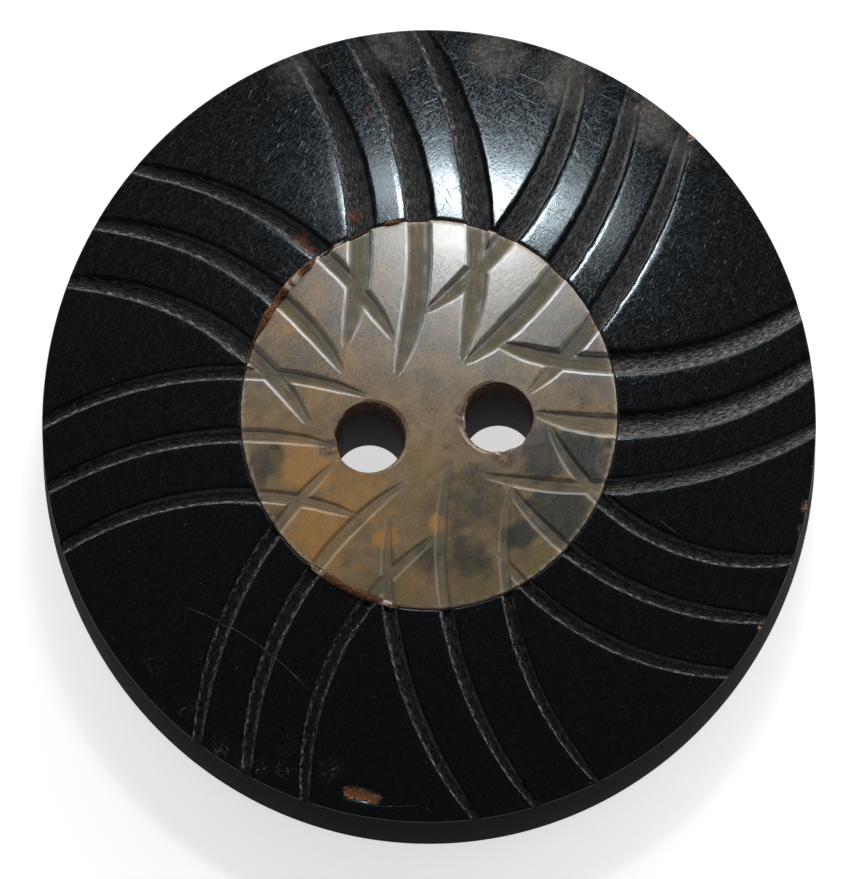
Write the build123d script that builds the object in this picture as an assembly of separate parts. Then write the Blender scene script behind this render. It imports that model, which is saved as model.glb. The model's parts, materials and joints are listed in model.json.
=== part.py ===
"""Large carved two-hole button: a black horn body with a pale horn disc let into its face."""
from build123d import *

import os
from math import cos, radians, sin, sqrt

# Outline of the body, in millimetres
face_width = 29.6
face_length = 31.4        # the horn has shrunk across its grain, so the outline is a little oval
crown_height = 6.4        # from the flat back to the top of the pale disc
joint_height = 5.8        # where the pale disc and the black ring meet
rim_height = 4.3          # where the face meets the side wall
back_bevel = 1.0          # turned off the edge of the back

# Pale disc and its pocket
pocket_width = 14.5
pocket_length = 15.5
pocket_depth = 1.2        # below the joint
glue_clearance = 0.05     # all round between the disc and the pocket wall

# Sewing holes
hole_diameter = 2.7
hole_spacing = 5.0
hole_turn = 9.0           # degrees that the line of holes is turned from the width
pair_shift_across = 0.18  # the pair was drilled a little off the middle
pair_shift_along = -0.69
mouth_flare = 0.14        # worn widening of a hole at the face and at the back

# Carved grooves
groove_floor = 0.36       # width of a groove's floor
groove_depth = 0.24       # at the middle reading
run_out_depth = 0.06      # where a groove leaves over the rim
cutter_height = 0.8
cutter_slope = 0.75       # how much each wall of a groove leans out for its height
middle_share = 0.6
run_out_share = 1.05

# Hand-carved places, read round the face from the disc's top and then clockwise: share of the
# half width at which a groove starts in the disc, its bearing there, at the middle and at the rim
groove_shares = [
    (0.27, 144, 108.5, 111), (0.12, 135, 94, 103), (0.15, 56, 79, 93),
    (0.25, 92, 64, 68), (0.15, 52, 49, 59.5), (0.26, 10, 34, 50),
    (0.24, 46, 13, 17.5), (0.27, -1, -2, 10), (0.21, -50, -16.5, 1),
    (0.31, -6, -27.5, -18), (0.26, -42, -41.5, -27.5), (0.38, -64, -56, -36.5),
    (0.28, -41, -68, -63), (0.13, -63, -83.5, -72.5), (0.28, -111, -98, -81),
    (0.31, -85, -111.5, -107.5), (0.19, -108, -126.5, -116.5), (0.27, -152, -140, -125),
    (0.32, -122, -160, -161), (0.26, -160, -174.5, -169.5), (0.16, 168, 170, 181.5),
    (0.31, 187, 158, 160), (0.24, 157, 143, 151), (0.20, 117, 127.5, 141.5),
]

# Sizes that follow
joint_radius = (pocket_width + pocket_length) / 4
rim_radius = (face_width + face_length) / 4
disc_width = pocket_width - 2 * glue_clearance
disc_length = pocket_length - 2 * glue_clearance
pocket_floor = joint_height - pocket_depth
crown_drop = crown_height - joint_height
crown_radius = (joint_radius ** 2 + crown_drop ** 2) / (2 * crown_drop)
ring_drop = joint_height - rim_height
ring_run = rim_radius ** 2 - joint_radius ** 2
ring_centre = (joint_height ** 2 - rim_height ** 2 - ring_run) / (2 * ring_drop)
ring_radius = sqrt(rim_radius ** 2 + (rim_height - ring_centre) ** 2)


def disc_top(radius):
    """Height of the pale disc's dome at a distance from the middle."""
    return crown_height - crown_radius + sqrt(crown_radius ** 2 - radius ** 2)


def ring_top(radius):
    """Height of the black ring's face, a flatter dome, at a distance from the middle."""
    return ring_centre + sqrt(ring_radius ** 2 - radius ** 2)


def groove_place(share, bearing, depth):
    """Middle of a groove's floor at a share and a bearing, sunk into the face."""
    x = share * face_width / 2 * cos(radians(bearing))
    y = share * face_length / 2 * sin(radians(bearing))
    radius = sqrt(x ** 2 + y ** 2)
    face = disc_top(radius) if radius < joint_radius else ring_top(radius)
    return (x, y, face - depth)


def groove_cutter(start_share, start_bearing, middle_bearing, rim_bearing):
    """Blunt wedge of a cutter, swept from the disc out over the rim."""
    path = ThreePointArc(
        groove_place(start_share, start_bearing, 0),
        groove_place(middle_share, middle_bearing, groove_depth),
        groove_place(run_out_share, rim_bearing, run_out_depth),
    )
    forward = path % 0
    floor = groove_floor / 2
    top = floor + cutter_slope * cutter_height
    wedge = Polyline((-floor, 0), (floor, 0), (top, cutter_height), (-top, cutter_height), close=True)
    across = forward.cross(Vector(0, 0, 1))
    return sweep(Plane(origin=path @ 0, x_dir=across, z_dir=-forward) * make_face(wedge), path)


def hole_cutter():
    """Drill through the whole button, widened by wear at the face and at the back."""
    radius = hole_diameter / 2
    wide = radius + mouth_flare
    face = disc_top(hole_spacing / 2)
    side = Polyline(
        (0, 0), (wide, 0), (radius, mouth_flare), (radius, face - mouth_flare),
        (wide, face), (wide, crown_height), (0, crown_height), close=True,
    )
    return revolve(Plane.XZ * make_face(side), Axis.Z)


# Domes, turned so that their poles lie clear of the face
ring_dome = Pos(0, 0, ring_centre) * Rot(90, 0, 0) * Sphere(ring_radius)
disc_dome = Pos(0, 0, crown_height - crown_radius) * Rot(90, 0, 0) * Sphere(crown_radius)

# Black body: an oval blank, bevelled at the back, under the ring's dome with the pocket sunk in it
body = extrude(Ellipse(face_width / 2, face_length / 2), crown_height)
body = chamfer(body.edges().sort_by(Axis.Z)[0], back_bevel)
body &= ring_dome
body -= Pos(0, 0, pocket_floor) * extrude(Ellipse(pocket_width / 2, pocket_length / 2), crown_height)

# Pale disc: an oval slip on the pocket floor under its own dome
disc_blank = extrude(Ellipse(disc_width / 2, disc_length / 2), crown_height - pocket_floor)
disc = Pos(0, 0, pocket_floor) * disc_blank
disc &= disc_dome

# Grooves and holes run through both
for row in groove_shares:
    cutter = groove_cutter(*row)
    body -= cutter
    disc -= cutter
pair = Pos(pair_shift_across, pair_shift_along, 0) * Rot(0, 0, hole_turn)
for side in (-1, 1):
    cutter = pair * Pos(side * hole_spacing / 2, 0, 0) * hole_cutter()
    body -= cutter
    disc -= cutter

os.makedirs("parts", exist_ok=True)
export_step(body, "parts/horn_body.step")
export_step(disc, "parts/pale_disc.step")
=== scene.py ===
"""Looks of a large carved two-hole horn button, laid out as an add-on and run as a script."""
import json
from math import cos, pi, radians, sin, sqrt, tau

import bpy
import numpy as np
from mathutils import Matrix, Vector


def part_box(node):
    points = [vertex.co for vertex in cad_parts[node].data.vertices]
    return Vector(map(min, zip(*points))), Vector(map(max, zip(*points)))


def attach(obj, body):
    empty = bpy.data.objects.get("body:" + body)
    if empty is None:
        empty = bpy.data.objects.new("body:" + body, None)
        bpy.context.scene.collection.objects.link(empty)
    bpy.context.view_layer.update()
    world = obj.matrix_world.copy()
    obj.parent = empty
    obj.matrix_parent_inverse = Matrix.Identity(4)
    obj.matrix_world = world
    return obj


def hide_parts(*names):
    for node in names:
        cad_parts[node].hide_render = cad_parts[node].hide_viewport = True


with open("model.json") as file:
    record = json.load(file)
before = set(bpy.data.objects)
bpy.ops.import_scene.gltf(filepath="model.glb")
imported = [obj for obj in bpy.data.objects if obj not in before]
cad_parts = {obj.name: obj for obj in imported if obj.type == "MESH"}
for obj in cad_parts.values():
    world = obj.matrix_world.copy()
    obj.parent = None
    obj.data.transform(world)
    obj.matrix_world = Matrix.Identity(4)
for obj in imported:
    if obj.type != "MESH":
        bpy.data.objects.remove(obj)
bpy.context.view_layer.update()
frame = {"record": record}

bl_info = {
    "name": "Carved Horn Button",
    "version": (1, 0, 0),
    "blender": (4, 5, 0),
    "location": "3D View > Sidebar > Button",
    "description": "Turns, carves and finishes a two-hole button of black and pale horn",
    "category": "Add Mesh",
}

MM = 0.001
BODY_BOX = [Vector(corner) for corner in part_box("horn_body")]
DISC_BOX = [Vector(corner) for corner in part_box("pale_disc")]
HOLES = [mount for mount in frame["record"]["mounts"] if mount["kind"] == "bore"]

# Grooves, read clockwise from the top of the face: share of the half width at which one starts
# in the disc, then its bearing in degrees there, at the middle reading and at the rim
GROOVE_SHARES = [
    (0.27, 144, 108.5, 111), (0.12, 135, 94, 103), (0.15, 56, 79, 93),
    (0.25, 92, 64, 68), (0.15, 52, 49, 59.5), (0.26, 10, 34, 50),
    (0.24, 46, 13, 17.5), (0.27, -1, -2, 10), (0.21, -50, -16.5, 1),
    (0.31, -6, -27.5, -18), (0.26, -42, -41.5, -27.5), (0.38, -64, -56, -36.5),
    (0.28, -41, -68, -63), (0.13, -63, -83.5, -72.5), (0.28, -111, -98, -81),
    (0.31, -85, -111.5, -107.5), (0.19, -108, -126.5, -116.5), (0.27, -152, -140, -125),
    (0.32, -122, -160, -161), (0.26, -160, -174.5, -169.5), (0.16, 168, 170, 181.5),
    (0.31, 187, 158, 160), (0.24, 157, 143, 151), (0.20, 117, 127.5, 141.5),
]
MIDDLE_SHARE = 0.6
RUN_OUT_SHARE = 1.05

# Width of each groove and depth of each group of three, as shares of the full size
GROOVE_WIDTHS = (
    1.15, 1.2, 1.15, 1.1, 1.15, 0.95, 1.1, 1.15, 0.72, 0.75, 0.7, 0.65,
    0.55, 0.6, 0.65, 0.68, 0.75, 0.7, 0.7, 0.7, 0.68, 0.95, 0.9, 0.85,
)
GROUP_DEPTHS = (1.0, 1.0, 1.0, 0.85, 0.75, 0.85, 0.8, 1.0)
# How light the scraped floors and lips of each group are (the lips' streaks partly painted light),
# and the share of it that the floors lose towards the rim, between two distances from the middle in
# millimetres
FLOOR_TONES = np.array((0.6, 0.6, 1.5, 0.45, 0.42, 0.26, 0.42, 0.5))
LIP_TONES = np.array((0.6, 0.6, 0.7, 0.9, 1.0, 1.0, 0.9, 0.7))
FLOOR_FADES = np.array((0.65, 0.4, 0.0, 0.2, 0.3, 0.4, 0.3, 0.4))
FADE_REACH = (9.0, 14.5)
# Share of the run at which each group has run out, short of the rim or over it
GROUP_ENDS = (0.955, 0.97, 1.06, 1.0, 0.955, 0.99, 1.06, 0.985)
# How a groove opens from its pointed tip, in millimetres, and closes towards its end
TIP_LENGTHS = (0.0, 0.3, 1.2, 2.4)
TIP_WIDTHS = (0.12, 0.4, 0.8, 1.0)
TIP_DEPTHS = (0.0, 0.25, 0.7, 1.0)
RUN_SHARES = (0.45, 0.7, 0.88, 1.0)
RUN_WIDTHS = (1.0, 0.92, 0.8, 0.45)
RUN_DEPTHS = (1.0, 0.85, 0.55, 0.0)
# Foot and shoulder of a groove's walls, as shares of its half width: the soft wall that faces the
# front of the ring, the crisp wall that faces its back, and both walls in the disc
SOFT_WALL = (0.15, 1.4)
CRISP_WALL = (0.4, 1.06)
DISC_WALL = (0.62, 1.05)
# Share of the depth in the lower and in the upper part of the disc, and the places between
DISC_DEPTHS = (0.3, 0.6)
DISC_MARKS = (-3 * MM, 2 * MM)
# The lands roll over towards the grooves: depth in millimetres, and reach from lip to level land
ROLL_DEPTH = 0.012
ROLL_REACH = (0.95, 1.55)
# How a groove wavers: its line in millimetres, its width and its depth as shares
LINE_WAVER = 0.006
WIDTH_WAVER = 0.03
DEPTH_WAVER = 0.1
# How much a wall's facing along and across the button counts towards the front of the ring
FRONT_ALONG = 1.2
FRONT_ACROSS = 0.45
FAR_OFF = 9.0                 # standing of a place that is in no groove
PATTERN_STRIDE = 40           # keeps the streaks of one groove apart from those of the next
# Bands across a groove for the materials: where each sets in and where it ends
# Lip band: a painted highlight on walls that face the back
LIP_BAND = ((0.88, 1.0), (1.02, 1.15))
# Edge band: streaks partly painted light on walls that face the back
EDGE_BAND = ((0.35, 0.7), (0.8, 1.05))
# Shade band: painted shade on walls that face the front
SHADE_BAND = ((0.35, 0.6), (0.9, 1.05))

# Columns of the ring's mesh, as shares of a groove's half width from its middle to its margin
MARGIN_SHARES = (0.0, 0.25, 0.5, 0.65, 0.8, 0.9, 1.0, 1.1, 1.25, 1.5)
LAND_COLUMNS = 15
RING_ROWS = 84
ALIGNED_SHARE = 0.56
ROOM_SHARE = 0.45             # of the gap between two grooves that a margin may take
# Steps of the drilled holes, how far their walls may lean, and the heights at which crust sets in
MOUTH_STEPS = 7
BORE_LEVELS = 16
BORE_SIDES = 96
BORE_LEAN = 0.8
MOUTH_SHARE = 0.6             # of a mouth's rounding that counts as drilled wall
CRUST_LEVELS = (3.0 * MM, 5.0 * MM)
SMOOTH_ANGLE = 60


def length_property(name, description, default):
    """Length that a user can change."""
    return bpy.props.FloatProperty(name=name, description=description, default=default, unit="LENGTH")


def colour_property(name, description, default):
    """Colour that a user can change."""
    return bpy.props.FloatVectorProperty(
        name=name, description=description, default=default, size=3, subtype="COLOR", min=0, max=1)


class ButtonSizes(bpy.types.PropertyGroup):
    """Sizes of the button, in the frame's own metres."""
    face_width: length_property(
        "Face width", "Across the outline the narrow way", BODY_BOX[1].x - BODY_BOX[0].x)
    face_length: length_property(
        "Face length", "Across the outline the long way", BODY_BOX[1].y - BODY_BOX[0].y)
    crown_height: length_property("Crown height", "From the back to the top of the pale disc", 6.4 * MM)
    joint_height: length_property("Joint height", "Where the pale disc meets the black ring", 5.8 * MM)
    rim_height: length_property("Rim height", "Where the face meets the side wall", 4.3 * MM)
    back_round: length_property("Back round", "Radius of the edge round the back", 1.0 * MM)
    disc_width: length_property(
        "Disc width", "Across the pale disc the narrow way", DISC_BOX[1].x - DISC_BOX[0].x)
    disc_length: length_property(
        "Disc length", "Across the pale disc the long way", DISC_BOX[1].y - DISC_BOX[0].y)
    glue_gap: length_property("Glue gap", "Between the disc and the wall of its pocket", 0.05 * MM)
    pocket_floor: length_property(
        "Pocket floor", "Height of the floor that the disc lies on", DISC_BOX[0].z)
    hole_diameter: length_property(
        "Hole diameter", "Bore of the sewing holes", 2 * HOLES[0]["dims"]["r_mm"] * MM)
    mouth_round: length_property("Mouth round", "Worn rounding of a hole's mouth", 0.14 * MM)
    groove_width: length_property("Groove width", "Between the lips of a groove at its widest", 0.8 * MM)
    groove_depth: length_property("Groove depth", "Depth of a groove at its deepest", 0.27 * MM)
    lip_round: length_property(
        "Lip round", "Rounding of the rim and of the edges at the joint", 0.035 * MM)


class ButtonColours(bpy.types.PropertyGroup):
    """Colours of the horn, the glue and the floor."""
    black_horn: colour_property("Black horn", "Polished lands of the ring", (0.0028, 0.0028, 0.0034))
    groove_grey: colour_property(
        "Groove grey", "Scraped streaks in the grooves of the ring", (0.34, 0.33, 0.322))
    worn_brown: colour_property(
        "Worn brown", "Horn that has lost its polish near the rim", (0.082, 0.072, 0.063))
    # Olive tone of the side wall and the drilled walls; low on the side wall it is a painted reflection of
    # the floor
    olive_tone_and_reflection: colour_property("Side olive", "Turned side wall towards the back", (0.018, 0.017, 0.014))
    rust: colour_property("Rust brown", "Chips, glue crusts and crust in the holes", (0.22, 0.075, 0.025))
    frost: colour_property("Frosted horn", "Fresh chips and bruised edges", (0.50, 0.43, 0.36))
    dust: colour_property("Dust", "Dust and hairline scratches on the black horn", (0.42, 0.43, 0.45))
    glue: colour_property("Glue", "Old glue in the joint", (0.045, 0.026, 0.016))
    pale_horn: colour_property("Pale horn", "Body colour of the disc", (0.27, 0.185, 0.095))
    amber: colour_property("Amber", "Warm clouds in the disc", (0.50, 0.26, 0.075))
    slate: colour_property("Slate", "Cool dark clouds in the disc", (0.044, 0.047, 0.038))
    olive: colour_property("Olive", "Yellow-green clouds in the disc", (0.19, 0.16, 0.055))
    floor: colour_property("Floor", "Pale ground under the button", (0.8, 0.8, 0.8))


def sizes():
    """The button's sizes as the scene holds them."""
    return bpy.context.scene.button_sizes


def colours():
    """The button's colours as the scene holds them."""
    return bpy.context.scene.button_colours


# Shape of the face

def smooth(low, high, value):
    """Eased step from 0 at the low mark to 1 at the high mark."""
    step = np.clip((value - low) / (high - low), 0, 1)
    return step * step * (3 - 2 * step)


def ripple(value, seed):
    """Slow uneven wave between about -1 and 1, the same on each run."""
    return (np.sin(1.7 * value + 2.1 * seed) + np.sin(3.9 * value + 5.3 * seed)
            + np.sin(8.3 * value + 1.4 * seed)) / 3


MOTTLE_WAVES = ((2.1, 0.3), (3.4, 1.9), (5.2, 0.9), (7.9, 2.6), (11.0, 1.4))


def mottle(x, y, seed):
    """Uneven patches between about -1 and 1 over places in millimetres."""
    total = 0
    for step, (scale, turn) in enumerate(MOTTLE_WAVES):
        total = total + np.sin(scale * (x * cos(turn + seed) + y * sin(turn + seed)) + 2.3 * step + seed)
    return total / len(MOTTLE_WAVES)


def spots(x, y, places, ragged=0.3):
    """Soft mask of ragged spots, each with its place and radius in millimetres, and its strength."""
    x = x / MM
    y = y / MM
    uneven = 1 + ragged * mottle(x, y, 0.7)
    mask = np.zeros(x.shape)
    for centre_x, centre_y, radius, strength in places:
        distance = np.hypot(x - centre_x, y - centre_y) / radius * uneven
        mask = np.maximum(mask, strength * (1 - smooth(0.3, 1.0, distance)))
    return mask


def zone(bearing, zones):
    """Mask round the joint of zones, each with its bearing and half span in degrees, and strength."""
    mask = np.zeros(bearing.shape)
    for middle, half, strength in zones:
        away = np.abs((np.degrees(bearing) - middle + 180) % 360 - 180)
        mask = np.maximum(mask, strength * (1 - smooth(0.55 * half, half, away)))
    return mask


def joint_radius(size):
    """Mean radius of the pocket's wall."""
    return (size.disc_width + size.disc_length) / 4 + size.glue_gap


def rim_radius(size):
    """Mean radius of the rim."""
    return (size.face_width + size.face_length) / 4


def disc_top(size, radius):
    """Height of the pale disc's dome."""
    drop = size.crown_height - size.joint_height
    dome = (joint_radius(size) ** 2 + drop ** 2) / (2 * drop)
    return size.crown_height - dome + np.sqrt(dome ** 2 - radius ** 2)


def ring_top(size, radius):
    """Height of the black ring's flatter dome."""
    drop = size.joint_height - size.rim_height
    run = rim_radius(size) ** 2 - joint_radius(size) ** 2
    centre = (size.joint_height ** 2 - size.rim_height ** 2 - run) / (2 * drop)
    dome = sqrt(rim_radius(size) ** 2 + (size.rim_height - centre) ** 2)
    return centre + np.sqrt(dome ** 2 - radius ** 2)


def face_place(size, share, bearing):
    """Plan place on the oval face, as a complex number."""
    angle = np.radians(bearing)
    return share * (size.face_width / 2 * np.cos(angle) + 1j * size.face_length / 2 * np.sin(angle))


def groove_arcs(size):
    """Start, centre and turn of the arc that each groove follows in plan."""
    arcs = []
    for start_share, start_bearing, middle_bearing, rim_bearing in GROOVE_SHARES:
        start = face_place(size, start_share, start_bearing)
        middle = face_place(size, MIDDLE_SHARE, middle_bearing)
        end = face_place(size, RUN_OUT_SHARE, rim_bearing)
        lean = (end - start) / (middle - start)
        centre = start + (middle - start) * (lean - abs(lean) ** 2) / (2j * lean.imag)
        turn = np.angle((middle - centre) / (start - centre)) + np.angle((end - centre) / (middle - centre))
        arcs.append((start, centre, turn))
    return arcs


def carve(size, plan):
    """Depth of the carving at plan places, with each place's standing in its nearest groove."""
    depth, across, along, front_facing, roll = np.zeros((5, *plan.shape))
    inside = np.full(plan.shape, FAR_OFF)
    nearest = np.zeros(plan.shape, dtype=int)
    half_width = size.disc_width / 2 + size.glue_gap / 2
    half_length = size.disc_length / 2 + size.glue_gap / 2
    in_disc = np.hypot(plan.real / half_width, plan.imag / half_length) < 1
    disc_depth = np.interp(plan.imag, DISC_MARKS, DISC_DEPTHS)
    for number, (start, centre, turn) in enumerate(groove_arcs(size)):
        group = number // 3
        way = plan - centre
        reading = way / (start - centre)
        radius = abs(start - centre)
        run = np.angle(reading) / turn
        length = run * abs(turn) * radius / MM
        share = run / GROUP_ENDS[group]
        offset = (np.abs(reading) - 1) * radius * np.sign(turn)
        offset = offset + LINE_WAVER * MM * ripple(length * 1.2, number)
        half = np.interp(length, TIP_LENGTHS, TIP_WIDTHS) * np.interp(share, RUN_SHARES, RUN_WIDTHS)
        half = half * size.groove_width / 2 * GROOVE_WIDTHS[number]
        half = half * (1 + WIDTH_WAVER * ripple(length, number + 0.5))
        sunk = np.interp(length, TIP_LENGTHS, TIP_DEPTHS) * np.interp(share, RUN_SHARES, RUN_DEPTHS)
        sunk = sunk * size.groove_depth * GROUP_DEPTHS[group]
        sunk = sunk * (1 + DEPTH_WAVER * ripple(length * 0.8, number + 0.2))
        sunk = np.where((run > 0) & (share < 1), sunk, 0)
        ratio = np.where(sunk > 0, np.abs(offset) / half, FAR_OFF)
        facing = -np.sign(np.abs(reading) - 1) * way / np.maximum(np.abs(way), 0.1 * MM)
        front = np.clip(0.5 - FRONT_ALONG * facing.imag - FRONT_ACROSS * facing.real, 0, 1)
        cut = 1 - front * smooth(*SOFT_WALL, ratio) - (1 - front) * smooth(*CRISP_WALL, ratio)
        cut = np.where(in_disc, disc_depth * (1 - smooth(*DISC_WALL, ratio)), cut)
        depth = np.maximum(depth, sunk * cut)
        roll = roll + ROLL_DEPTH * MM * sunk / size.groove_depth * (1 - smooth(*ROLL_REACH, ratio))
        nearer = ratio < inside
        inside = np.where(nearer, ratio, inside)
        across = np.where(nearer, offset, across)
        along = np.where(nearer, length + number * PATTERN_STRIDE, along)
        nearest = np.where(nearer, number, nearest)
        front_facing = np.where(nearer, front, front_facing)
    depth = depth + np.where(in_disc, 0, roll)
    return depth, inside, across, along, nearest, front_facing


def groove_bearings(size, shares):
    """Bearing and half angle of each groove at the given shares of the ring, clockwise in order."""
    bearings, halves = [], []
    last = None
    for (start, centre, turn), row, wide in zip(groove_arcs(size), GROOVE_SHARES, GROOVE_WIDTHS):
        steps = np.linspace(0, 1, 400)
        plan = centre + (start - centre) * np.exp(1j * turn * steps)
        unit = plan.real / (size.face_width / 2) + 1j * plan.imag / (size.face_length / 2)
        first = np.argmin(np.abs(unit))
        middle = row[2] if last is None or row[2] < last else row[2] - 360
        last = middle
        reach = np.abs(unit)[first:]
        bearing = radians(middle) + np.angle(unit[first:] / np.exp(1j * radians(middle)))
        slant = np.interp(shares, reach, np.gradient(bearing, reach) * reach)
        bearings.append(np.interp(shares, reach, bearing))
        halves.append(wide * size.groove_width / 2 * np.sqrt(1 + slant ** 2) / (shares * rim_radius(size)))
    return np.array(bearings), np.array(halves)


def column_bearings(size, shares):
    """Bearings of the ring's columns of vertices, which run along the grooves: one line per row."""
    bearings, halves = groove_bearings(size, np.maximum(shares, ALIGNED_SHARE))
    after = np.roll(bearings, -1, axis=0)
    after[-1] -= tau
    gaps = bearings - after
    room = np.minimum(gaps, np.roll(gaps, 1, axis=0)) * ROOM_SHARE
    reach = np.minimum(MARGIN_SHARES[-1] * halves, room) / MARGIN_SHARES[-1]
    columns = []
    for number in range(len(GROOVE_SHARES)):
        follower = (number + 1) % len(GROOVE_SHARES)
        begin = bearings[number] - MARGIN_SHARES[-1] * reach[number]
        end = after[number] + MARGIN_SHARES[-1] * reach[follower]
        columns += [bearings[number] - share * reach[number] for share in MARGIN_SHARES]
        for step in range(1, LAND_COLUMNS + 1):
            columns.append(begin + (end - begin) * step / (LAND_COLUMNS + 1))
        columns += [after[number] + share * reach[follower] for share in MARGIN_SHARES[:0:-1]]
    columns.append(columns[0] - tau)
    return np.array(columns).T


# Mesh steps shared by the pieces

def unit_grid(name, columns, rows):
    """Flat grid of one unit, and the column and row of each of its vertices."""
    bpy.ops.object.select_all(action="DESELECT")
    bpy.ops.mesh.primitive_grid_add(x_subdivisions=columns, y_subdivisions=rows, size=1)
    piece = bpy.context.object
    piece.name = name
    piece.data.name = name
    places = places_of(piece)
    column = np.rint((places[:, 0] + 0.5) * columns).astype(int)
    row = np.rint((places[:, 1] + 0.5) * rows).astype(int)
    return piece, column, row


def places_of(piece):
    """Places of a piece's vertices, one line each."""
    places = np.empty(len(piece.data.vertices) * 3)
    piece.data.vertices.foreach_get("co", places)
    return places.reshape(-1, 3)


def move_to(piece, x, y, z):
    """Puts a piece's vertices at new places."""
    piece.data.vertices.foreach_set("co", np.column_stack((x, y, z)).ravel())
    piece.data.update()


def pick(piece):
    """Makes a piece the only one that is selected."""
    bpy.ops.object.select_all(action="DESELECT")
    piece.select_set(True)
    bpy.context.view_layer.objects.active = piece


def edit_all(piece):
    """Opens a piece for editing with everything on it selected."""
    pick(piece)
    bpy.ops.object.mode_set(mode="EDIT")
    bpy.ops.mesh.select_all(action="SELECT")


def leave_outwards():
    """Turns the faces of the piece in hand outwards and ends the editing."""
    bpy.ops.mesh.select_all(action="SELECT")
    bpy.ops.mesh.normals_make_consistent(inside=False)
    bpy.ops.object.mode_set(mode="OBJECT")


def close_mesh(piece):
    """Joins the seam, caps the open loops and turns the faces outwards."""
    edit_all(piece)
    bpy.ops.mesh.remove_doubles(threshold=0.001 * MM)
    bpy.ops.mesh.select_all(action="DESELECT")
    bpy.ops.mesh.select_mode(type="EDGE")
    bpy.ops.mesh.select_non_manifold()
    bpy.ops.mesh.edge_face_add()
    leave_outwards()


def drill(size):
    """Both drills as one cutter, rounded where they leave the face and the back."""
    radius = size.hole_diameter / 2
    mouth = size.mouth_round
    low = []
    for turn in np.linspace(0, pi / 2, MOUTH_STEPS):
        low.append((radius + mouth * (1 - sin(turn)), mouth * (1 - cos(turn))))
    cutters = []
    for hole in HOLES:
        x, y, _ = hole["pos_m"]
        face = float(disc_top(size, sqrt(x * x + y * y)))
        levels = np.linspace(mouth, face - mouth, BORE_LEVELS)[1:-1]
        side = [(radius + 2 * mouth, -mouth)] + low
        side += [(radius, level) for level in levels]
        side += [(wide, face - height) for wide, height in reversed(low)]
        side.append((radius + 2 * mouth, face + mouth))
        bpy.ops.object.select_all(action="DESELECT")
        bpy.ops.mesh.primitive_circle_add(
            vertices=BORE_SIDES, radius=side[0][0], fill_type="NGON", location=(x, y, side[0][1]))
        cutter = bpy.context.object
        bpy.ops.object.transform_apply(location=True, rotation=True, scale=True)
        edit_all(cutter)
        for (wide, height), (next_wide, next_height) in zip(side, side[1:]):
            bpy.ops.mesh.extrude_region_move(
                TRANSFORM_OT_translate={"value": (0, 0, next_height - height)})
            grow = next_wide / wide
            bpy.ops.transform.resize(value=(grow, grow, 1), center_override=(x, y, next_height))
        leave_outwards()
        cutters.append(cutter)
    for cutter in cutters:
        cutter.select_set(True)
    bpy.context.view_layer.objects.active = cutters[0]
    bpy.ops.object.join()
    return cutters[0]


def drill_holes(piece):
    """Cuts the sewing holes out of a piece."""
    cutter = drill(sizes())
    pick(piece)
    cut = piece.modifiers.new("Sewing holes", "BOOLEAN")
    cut.operation = "DIFFERENCE"
    cut.solver = "EXACT"
    cut.object = cutter
    bpy.ops.object.modifier_apply(modifier=cut.name)
    bpy.data.objects.remove(cutter)


def paint(piece, name, values):
    """Stores one number per vertex for the material to read."""
    layer = piece.data.attributes.new(name, "FLOAT", "POINT")
    layer.data.foreach_set("value", np.asarray(values, dtype=np.float32))


def band(inside, marks):
    """Mask of a band across a groove."""
    begin, end = marks
    return smooth(*begin, inside) * (1 - smooth(*end, inside))


def paint_carving(piece):
    """Stores where each vertex stands in the carving, and the bands for painted highlights and painted
    shade.
    """
    places = places_of(piece)
    plan = places[:, 0] + 1j * places[:, 1]
    inside, across, along, nearest, front_facing = carve(sizes(), plan)[1:]
    group = nearest // 3
    fade = FLOOR_FADES[group] * smooth(*FADE_REACH, np.abs(plan) / MM)
    paint(piece, "groove", 1 - smooth(0.55 - 0.4 * front_facing, 1.2 - 0.4 * front_facing, inside))
    # Painted highlight: lips of walls that face the back
    paint(piece, "lip", band(inside, LIP_BAND) * (1 - front_facing))
    # Streaks, partly painted light, on walls that face the back
    paint(piece, "edge", band(inside, EDGE_BAND) * (1 - 0.75 * front_facing))
    # Painted shade: walls that face the front
    paint(piece, "shade", band(inside, SHADE_BAND) * front_facing)
    paint(piece, "floor_tone", FLOOR_TONES[group] * (1 - fade))
    paint(piece, "lip_tone", LIP_TONES[group])
    paint(piece, "across", across / MM)
    paint(piece, "along", along)


def face_places(piece):
    """Middle and outward way of each face."""
    count = len(piece.data.polygons)
    middles = np.empty(count * 3)
    ways = np.empty(count * 3)
    piece.data.polygons.foreach_get("center", middles)
    piece.data.polygons.foreach_get("normal", ways)
    return middles.reshape(-1, 3), ways.reshape(-1, 3)


def from_hole(x, y):
    """Distance of plan places from the nearest hole's axis."""
    return np.min([np.hypot(x - hole["pos_m"][0], y - hole["pos_m"][1]) for hole in HOLES], axis=0)


def in_bore(piece):
    """Which faces of a piece line the sewing holes."""
    middles, ways = face_places(piece)
    size = sizes()
    near = from_hole(middles[:, 0], middles[:, 1]) < size.hole_diameter / 2 + MOUTH_SHARE * size.mouth_round
    return near & (np.abs(ways[:, 2]) < BORE_LEAN)


def crust_holes(piece):
    """Thickens the walls of the holes where crust sits on them."""
    places = places_of(piece)
    x, y, z = places.T
    radius = sizes().hole_diameter / 2
    for hole in HOLES:
        way_x = x - hole["pos_m"][0]
        way_y = y - hole["pos_m"][1]
        away = np.hypot(way_x, way_y)
        lumps = 0.6 + 0.6 * mottle(x / MM * 1.4, y / MM * 1.4 + z / MM, 1.9)
        amount = np.clip(lumps, 0, 1) * CRUST_THICKNESS * MM * spots(x, y, HOLE_CRUSTS)
        amount = np.where(away < radius + 0.03 * MM, amount, 0) * smooth(*CRUST_LEVELS, z)
        shrink = 1 - amount / np.maximum(away, radius / 2)
        x = hole["pos_m"][0] + way_x * shrink
        y = hole["pos_m"][1] + way_y * shrink
    move_to(piece, x, y, z)


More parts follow.
